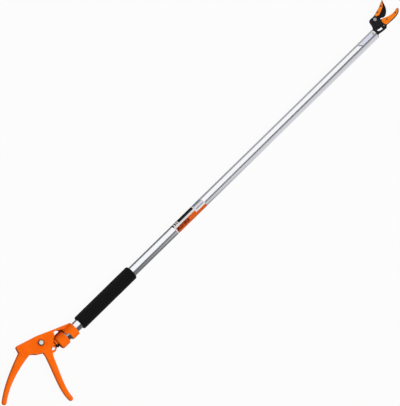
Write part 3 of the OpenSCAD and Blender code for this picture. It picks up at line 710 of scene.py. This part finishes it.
def foam_sleeve(line, inner, outer):
    chance = np.random.default_rng(SEED)
    waves = [(chance.uniform(20, 120), chance.integers(0, 5), chance.uniform(0, 6.28)) for _ in range(WAVES)]
    spots = []
    for x, r in line:
        skin = min(1, max(0, (r - inner) / (outer - inner)))
        for k in range(AROUND):
            a = 2 * math.pi * k / AROUND
            press = sum(math.sin(f * x + n * a + p) for f, n, p in waves) / WAVES
            reach = r + WAVE * (press - SUNK) * skin
            spots.append((x, reach * math.cos(a), reach * math.sin(a)))
    faces = []
    for i in range(len(line)):
        here = i * AROUND
        there = (i + 1) % len(line) * AROUND
        for k in range(AROUND):
            beside = (k + 1) % AROUND
            faces.append((here + k, here + beside, there + beside, there + k))
    mesh = bpy.data.meshes.new("foam_sleeve")
    mesh.from_pydata(spots, [], faces)
    work = bmesh.new()
    work.from_mesh(mesh)
    bmesh.ops.recalc_face_normals(work, faces=work.faces)
    work.to_mesh(mesh)
    work.free()
    smooth(mesh)
    piece = link("foam_sleeve", mesh)
    dress(piece, FOAM, "pole", "foam", "foam_grip")
    print("foam sleeve has", len(mesh.polygons), "faces")


foam_sleeve(profile, sleeve_inner, sleeve_outer)

# %% [markdown]
# A printed film is wrapped round the pole above the foam, kept plain here. Each ink is a thin glossy
# colour with a slight cloud in it, and the red brown one is mottled coarsely.

# %% Inks
def ink(name, dark, light, rough, scale=500):
    mat, tree, skin = start(name, rough=rough, Specular_IOR_Level=0.15)
    cloud = spread(tree, grain(tree, scale, 3), 0.35, 0.65, 0, 1)
    tree.links.new(between(tree, cloud, dark, light), skin.inputs["Base Color"])
    relief(tree, skin, grain(tree, 1200, 2), 0.03 * MM, 0.25)
    return mat


INKS = [ink("film_black", (0.004, 0.004, 0.004), (0.012, 0.012, 0.012), 0.35),
        ink("film_white", (0.74, 0.72, 0.72), (0.82, 0.80, 0.80), 0.4),
        ink("film_orange", (0.60, 0.085, 0.004), (0.72, 0.125, 0.010), 0.35),
        ink("film_red_brown", (0.06, 0.003, 0.001), (0.42, 0.055, 0.006), 0.35, 190),
        ink("film_silver", (0.24, 0.28, 0.36), (0.34, 0.39, 0.48), 0.3)]
BLACK_INK, WHITE_INK, ORANGE_INK, BROWN_INK, SILVER_INK = range(len(INKS))
print("inks:", [mat.name for mat in INKS])

# %% [markdown]
# The film's fields are runs of faces. Along one side lies a black stripe with pale ticks at its lower
# end, beside it a white line and an orange field that starts red brown, and at the upper end a white
# panel with silver bands. Places are shares of the film's length and degrees round the tube, where 0
# faces the viewer.

# %% Fields of the film
TICKS = [0.035, 0.075, 0.105, 0.135, 0.155, 0.19]
FIELD_START = 0.03
BROWN_END = 0.44
STRIPE_END = 0.684
SILVER_START = 0.72
SILVER_END = 0.975
STRIPE_EDGE = 25
FIELD_EDGE = 2
BROWN_EDGE = -44
PANEL_EDGE = -25
SILVER_TOP = 34
SILVER_MIDDLE = 7
CUTS_ALONG = [0, FIELD_START, *TICKS, BROWN_END, STRIPE_END, SILVER_START, SILVER_END, 1]
CUTS_ROUND = [112, 98, 84, 70, 56, 44, SILVER_TOP, STRIPE_EDGE, 14, SILVER_MIDDLE, FIELD_EDGE,
              -SILVER_MIDDLE, -16, PANEL_EDGE, -34, BROWN_EDGE, -54, -64, -76, -90, -110]


def ink_at(along, turn):
    if along > STRIPE_END:
        if turn < PANEL_EDGE:
            return ORANGE_INK
        banded = turn > SILVER_TOP or -SILVER_MIDDLE < turn < SILVER_MIDDLE
        return SILVER_INK if banded and SILVER_START < along < SILVER_END else WHITE_INK
    if turn > STRIPE_EDGE:
        return WHITE_INK if sum(along > tick for tick in TICKS) % 2 else BLACK_INK
    if turn > FIELD_EDGE or along < FIELD_START:
        return WHITE_INK
    return BROWN_INK if along < BROWN_END and turn > BROWN_EDGE else ORANGE_INK


print("film is cut into", len(CUTS_ALONG) - 1, "by", len(CUTS_ROUND) - 1, "faces")

# %% [markdown]
# The film itself is a thin curved sheet just proud of the tube. It is laid out as a grid of the cuts
# above, and Solidify gives it its thickness inwards, down to a hair above the metal. Fields could also be
# painted on the tube by its material. As a sheet the film has an edge of its own, as the real one does.

# %% Printed film
FILM_START = 203 * MM
FILM_LENGTH = 85.5 * MM
FILM_THICK = 0.08 * MM
FILM_GAP = 0.01 * MM


def printed_film():
    radius = frame_radius("pole_tube") + FILM_THICK
    turns = [math.radians(turn) for turn in CUTS_ROUND]
    work = bmesh.new()
    rows = []
    for along in CUTS_ALONG:
        x = FILM_START + along * FILM_LENGTH
        rows.append([work.verts.new((x, radius * math.sin(a), radius * math.cos(a))) for a in turns])
    for i in range(len(CUTS_ALONG) - 1):
        for k in range(len(CUTS_ROUND) - 1):
            face = work.faces.new((rows[i][k], rows[i][k + 1], rows[i + 1][k + 1], rows[i + 1][k]))
            face.material_index = ink_at((CUTS_ALONG[i] + CUTS_ALONG[i + 1]) / 2,
                                         (CUTS_ROUND[k] + CUTS_ROUND[k + 1]) / 2)
            face.smooth = True
    bmesh.ops.recalc_face_normals(work, faces=work.faces)
    mesh = bpy.data.meshes.new("printed_film")
    work.to_mesh(mesh)
    work.free()
    piece = link("printed_film", mesh)
    for mat in INKS:
        mesh.materials.append(mat)
    shell = piece.modifiers.new("film", "SOLIDIFY")
    shell.thickness = FILM_THICK - FILM_GAP
    shell.offset = -1
    settle(piece)
    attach(piece, "pole")
    out = piece.data.polygons[0].normal
    print("film", round(FILM_LENGTH, 4), "m long, first face looks", [round(v, 2) for v in out])


printed_film()

# %% [markdown]
# What repeats or follows a path is grown by Geometry Nodes. A tree has named inputs for its sizes, and
# ends by making its instances real and giving them their material. The modifier's inputs are set by their
# identifiers, and the grown shape is kept as a plain mesh.

# %% Helpers for grown pieces
def grow_tree(name, inputs):
    """An empty tree with one geometry output and the given inputs, and the sockets of those inputs."""
    tree = bpy.data.node_groups.new(name, "GeometryNodeTree")
    tree.interface.new_socket("Geometry", in_out="OUTPUT", socket_type="NodeSocketGeometry")
    for label, kind in inputs.items():
        tree.interface.new_socket(label, in_out="INPUT", socket_type="NodeSocket" + kind)
    return tree, tree.nodes.new("NodeGroupInput").outputs


def end_tree(tree, shape, material):
    real = add(tree, "GeometryNodeRealizeInstances", {"Geometry": shape})
    painted = add(tree, "GeometryNodeSetMaterial", {"Geometry": real.outputs[0], "Material": material})
    add(tree, "NodeGroupOutput", {0: painted.outputs[0]})
    print("tree", tree.name, "has", len(tree.nodes), "nodes")


def grown(name, tree, **sizes):
    piece = link(name, bpy.data.meshes.new(name))
    grow = piece.modifiers.new("grow", "NODES")
    grow.node_group = tree
    names = {item.name: item.identifier for item in tree.interface.items_tree if item.in_out == "INPUT"}
    for key, value in sizes.items():
        grow[names[key.replace("_", " ")]] = value
    mesh = settle(piece)
    print(name, "grew", len(mesh.polygons), "faces")
    return piece


print("node groups so far:", len(bpy.data.node_groups))

# %% [markdown]
# Bolt ends are threaded. A thread is a ridge wound at a steady pitch, so one small tree makes it: a
# spiral with a three sided section swept along it. Radius, pitch and turns are inputs, and both bolts use
# it. A relief in the material would be lighter, but it leaves the bolt's outline smooth.

# %% Thread tree
RIDGE = 0.42


def thread_tree():
    tree, given = grow_tree("bolt_thread", {"Radius": "Float", "Pitch": "Float", "Turns": "Float",
                                            "Bottom": "Float", "Centre": "Vector", "Material": "Material"})
    rise = times(tree, given["Pitch"], given["Turns"])
    wind = add(tree, "GeometryNodeCurveSpiral",
               {"Resolution": 28, "Rotations": given["Turns"], "Start Radius": given["Radius"],
                "End Radius": given["Radius"], "Height": rise})
    ridge = times(tree, given["Pitch"], RIDGE)
    section = add(tree, "GeometryNodeCurvePrimitiveCircle", {"Resolution": 3, "Radius": ridge})
    swept = add(tree, "GeometryNodeCurveToMesh",
                {"Curve": wind.outputs[0], "Profile Curve": section.outputs[0], "Fill Caps": True})
    lift = add(tree, "ShaderNodeCombineXYZ", {"Z": given["Bottom"]})
    place = add(tree, "ShaderNodeVectorMath", {0: given["Centre"], 1: lift.outputs[0]}, operation="ADD")
    moved = add(tree, "GeometryNodeTransform",
                {"Geometry": swept.outputs[0], "Translation": place.outputs[0]})
    end_tree(tree, moved.outputs[0], given["Material"])
    return tree


THREAD = thread_tree()

# %% [markdown]
# Each bolt shows a short tail below its nut. The thread starts far enough above the tail's end that its
# ridge stays inside the solid's height, and it ends about at the nut. Its depth and start are shares of
# the pitch.

# %% Threaded bolt ends
THREAD_SINK = 0.25
THREAD_START = 0.45
LOST_TURNS = 0.6
NUT_GAP = 0.3 * MM


def bolt_end(name, bolt, nut, body, radius, pitch):
    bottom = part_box(bolt)[0][2]
    nut_low, nut_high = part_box(nut)
    centre = ((nut_low[0] + nut_high[0]) / 2, (nut_low[1] + nut_high[1]) / 2, 0.0)
    turns = (nut_low[2] - bottom - NUT_GAP) / pitch - LOST_TURNS
    piece = grown(name, THREAD, Radius=radius - THREAD_SINK * pitch, Pitch=pitch, Turns=turns,
                  Bottom=bottom + THREAD_START * pitch, Centre=centre, Material=ZINC)
    dress(piece, ZINC, body, "bright_steel")


bolt_end("trigger_bolt_thread", "trigger_bolt", "trigger_nut", "handle", 4 * MM, 1.25 * MM)
bolt_end("blade_bolt_thread", "blade_bolt", "blade_nut", "pole", 3 * MM, 1 * MM)

# %% [markdown]
# The holding plate on the fixed jaw is roughened with low ribs, so that a cut twig does not slip. The ribs
# are a darker copy of the plate's orange, painted shade between them. Ribs repeat along the curved jaw: a
# curve along the middle of the plate is divided into even steps, and one rounded bar is set across it at
# every step.

# %% Rib tree
def rib_tree():
    tree, given = grow_tree("holding_ribs", {"Start": "Vector", "First handle": "Vector",
                                             "Second handle": "Vector", "End": "Vector", "Rib size": "Vector",
                                             "Count": "Int", "Material": "Material"})
    path = add(tree, "GeometryNodeCurvePrimitiveBezierSegment",
               {"Start": given["Start"], "Start Handle": given["First handle"],
                "End Handle": given["Second handle"], "End": given["End"]})
    steps = add(tree, "GeometryNodeResampleCurve", {"Curve": path.outputs[0], "Count": given["Count"]})
    heading = add(tree, "GeometryNodeInputTangent")
    turn = add(tree, "FunctionNodeAlignRotationToVector", {"Vector": heading.outputs[0]}, axis="X")
    ball = add(tree, "GeometryNodeMeshUVSphere", {"Segments": 12, "Rings": 6, "Radius": 0.5})
    soft = add(tree, "GeometryNodeSetShadeSmooth", {"Geometry": ball.outputs[0]})
    bar = add(tree, "GeometryNodeTransform", {"Geometry": soft.outputs[0], "Scale": given["Rib size"]})
    ribs = add(tree, "GeometryNodeInstanceOnPoints", {"Points": steps.outputs[0], "Instance": bar.outputs[0],
                                                      "Rotation": turn.outputs[0]})
    end_tree(tree, ribs.outputs[0], given["Material"])
    return tree


RIBS = rib_tree()

# %% [markdown]
# The ribs are placed in the head's own millimetres, counted from the tube's end, which lies a little
# before the counter blade. They sit just sunk into the plate's top, clear of its edges.

# %% Ribs of the holding plate
BLADE_OFFSET = 1.6 * MM
RIB_SINK = 0.04 * MM
RIB_SIZE = (1.4 * MM, 4.6 * MM, 0.5 * MM)
RIB_COUNT = 5
# Painted shade: a darker copy of the plate's orange coat for the ribs.
SHADED_RIB = orange_coat("rib_orange_shaded", (0.66, 0.085, 0.002), (0.80, 0.12, 0.004), (0.9, 0.2, 0.02))


def holding_ribs():
    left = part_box("counter_blade")[0][0] - BLADE_OFFSET
    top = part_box("counter_hold_plate")[1][2] - RIB_SINK

    def spot(x, y):
        return (left + x * MM, y * MM, top)

    piece = grown("holding_ribs", RIBS, Start=spot(45, 3.4), First_handle=spot(49.5, 2.4),
                  Second_handle=spot(54, 2.0), End=spot(58.5, 2.1), Count=RIB_COUNT, Rib_size=RIB_SIZE,
                  Material=SHADED_RIB)
    dress(piece, SHADED_RIB, "pole", "orange_steel")


holding_ribs()

# %% [markdown]
# A white background could come from more light, but that would bleach the tool. Floor and sky look at the
# kind of ray instead: white to the lens, to mirrors and to glass, and plain as a source of light. Their
# graphs start from an empty tree.

# %% White to the lens
SEEN_RAYS = ("Is Camera Ray", "Is Glossy Ray", "Is Transmission Ray")


def bare_tree(holder):
    holder.use_nodes = True
    holder.node_tree.nodes.clear()
    return holder.node_tree


def seen_ray(tree):
    """1 for what the lens, a mirror or glass sees, and 0 for light that falls on the tool."""
    ray = add(tree, "ShaderNodeLightPath").outputs
    seen = ray[SEEN_RAYS[0]]
    for kind in SEEN_RAYS[1:]:
        seen = add(tree, "ShaderNodeMath", {0: seen, 1: ray[kind]}, operation="MAXIMUM").outputs[0]
    return seen


print("the stage looks white to:", SEEN_RAYS)

# %% [markdown]
# The tool lies on a pale floor that reaches past every view. It glows to the lens for the most part and
# is matt for the rest, so that it still keeps a faint shadow.

# %% Floor
FLOOR_GAP = 0.3 * MM
FLOOR_REACH = 30.0
FLOOR_GLOW = 0.95


def floor_paint():
    mat = bpy.data.materials.new("floor_paint")
    tree = bare_tree(mat)
    matt = add(tree, "ShaderNodeBsdfDiffuse")
    mottle = between(tree, grain(tree, 6, 3), (0.48, 0.48, 0.48), (0.52, 0.52, 0.52))
    tree.links.new(mottle, matt.inputs["Color"])
    glow = add(tree, "ShaderNodeEmission", {"Color": (1, 1, 1, 1), "Strength": 1.0})
    share = times(tree, seen_ray(tree), FLOOR_GLOW)
    mix = add(tree, "ShaderNodeMixShader", {0: share, 1: matt.outputs[0], 2: glow.outputs[0]})
    add(tree, "ShaderNodeOutputMaterial", {"Surface": mix.outputs[0]})
    return mat


def floor():
    depth = solid_box[0][2] - FLOOR_GAP
    corners = [(-1, -1), (1, -1), (1, 1), (-1, 1)]
    mesh = bpy.data.meshes.new("floor")
    mesh.from_pydata([(x * FLOOR_REACH, y * FLOOR_REACH, depth) for x, y in corners], [], [(0, 1, 2, 3)])
    piece = link("floor", mesh)
    mesh.materials.append(floor_paint())
    print("floor at", round(depth, 4))


floor()

# %% [markdown]
# One large soft lamp gives the tool its shading, and an even sky fills in from all round. The sky is
# white to the lens and to mirrors and dimmer as a light, so that colours come out about as they are
# written.

# %% Light
SKY_LIGHT = 0.32


def sky():
    world = bpy.data.worlds.new("sky")
    bpy.context.scene.world = world
    tree = bare_tree(world)
    level = spread(tree, seen_ray(tree), 0, 1, SKY_LIGHT, 1.0)
    glow = add(tree, "ShaderNodeBackground", {"Color": (1, 1, 1, 1), "Strength": level})
    add(tree, "ShaderNodeOutputWorld", {"Surface": glow.outputs[0]})


def lamp(name, strength, width, towards):
    light = bpy.data.lights.new(name, "SUN")
    light.energy = strength
    light.angle = math.radians(width)
    thing = bpy.data.objects.new(name, light)
    bpy.context.collection.objects.link(thing)
    thing.rotation_mode = "QUATERNION"
    thing.rotation_quaternion = Vector(towards).to_track_quat("-Z", "Y")
    thing.visible_glossy = False
    print(name, "shines at", strength, "over", width, "degrees")


sky()
lamp("soft_key", 2.3, 40, (-0.3, 0.35, -1))
bpy.context.scene.view_settings.view_transform = "Standard"

# %% [markdown]
# Satin metal shows what stands round it. In a studio that is a set of cards, which belong to the stage.
# Only mirrors see them, and they get lighter towards the head, as the pole does. A card is either level
# along the pole or a wall beside it.

# %% Cards
CARD_LEFT = -1.2
CARD_RIGHT = 1.9
CARD_TINT = (1, 1, 1.04, 1)
LIGHTER_FROM = 0.2
LIGHTER_TO = 0.5


def card(name, spots, low, high):
    mesh = bpy.data.meshes.new(name)
    mesh.from_pydata(spots, [], [(0, 1, 2, 3)])
    piece = link(name, mesh)
    mat = bpy.data.materials.new(name + "_paint")
    tree = bare_tree(mat)
    along = add(tree, "ShaderNodeSeparateXYZ", {0: object_place(tree)}).outputs["X"]
    tone = spread(tree, along, LIGHTER_FROM, LIGHTER_TO, low, high)
    glow = add(tree, "ShaderNodeEmission", {"Color": CARD_TINT, "Strength": tone})
    add(tree, "ShaderNodeOutputMaterial", {"Surface": glow.outputs[0]})
    mesh.materials.append(mat)
    piece.visible_camera = False
    piece.visible_diffuse = False
    piece.visible_shadow = False
    piece.visible_transmission = False
    print(name, "from", low, "to", high)


def flat_card(name, near, far, height, low, high):
    """A level card along the pole; near and far give its two long edges at the left and right end."""
    card(name, [(CARD_LEFT, near[0], height), (CARD_RIGHT, near[1], height),
                (CARD_RIGHT, far[1], height), (CARD_LEFT, far[0], height)], low, high)


def wall_card(name, side, bottom, top, low, high):
    card(name, [(CARD_LEFT, side, bottom), (CARD_RIGHT, side, bottom),
                (CARD_RIGHT, side, top), (CARD_LEFT, side, top)], low, high)


print("cards run from", CARD_LEFT, "to", CARD_RIGHT, "m along the pole")

# %% [markdown]
# Six cards stand round the pole. A dark one hangs aslant above it and makes the long dark line, and a
# grey one and a wall close off its lower side. Strips lie low on both sides for the pole's two edges, and
# a low wall stands on the upper side.

# %% Six cards
CARD_HEIGHT = 0.5
LOW_EDGE = solid_box[0][2] + 0.5 * MM
LOW_WALL = 0.12
DARK_NEAR = (-0.53, 0.29)
DARK_FAR = (-0.77, -0.09)
LOWER_SIDE = -0.8
UPPER_SIDE = 1.0
STRIP_END = 1.7
flat_card("dark_card", DARK_NEAR, DARK_FAR, CARD_HEIGHT, 0.12, 0.17)
flat_card("grey_card", DARK_FAR, (LOWER_SIDE, LOWER_SIDE), CARD_HEIGHT, 0.08, 0.62)
wall_card("lower_wall", LOWER_SIDE, LOW_EDGE, CARD_HEIGHT, 0.1, 0.66)
flat_card("lower_strip", (0, 0), (LOWER_SIDE, LOWER_SIDE), LOW_EDGE, 0.18, 0.7)
flat_card("upper_strip", (0, 0), (STRIP_END, STRIP_END), LOW_EDGE, 0.18, 0.4)
wall_card("upper_wall", UPPER_SIDE, LOW_EDGE, LOW_WALL, 0.1, 0.4)
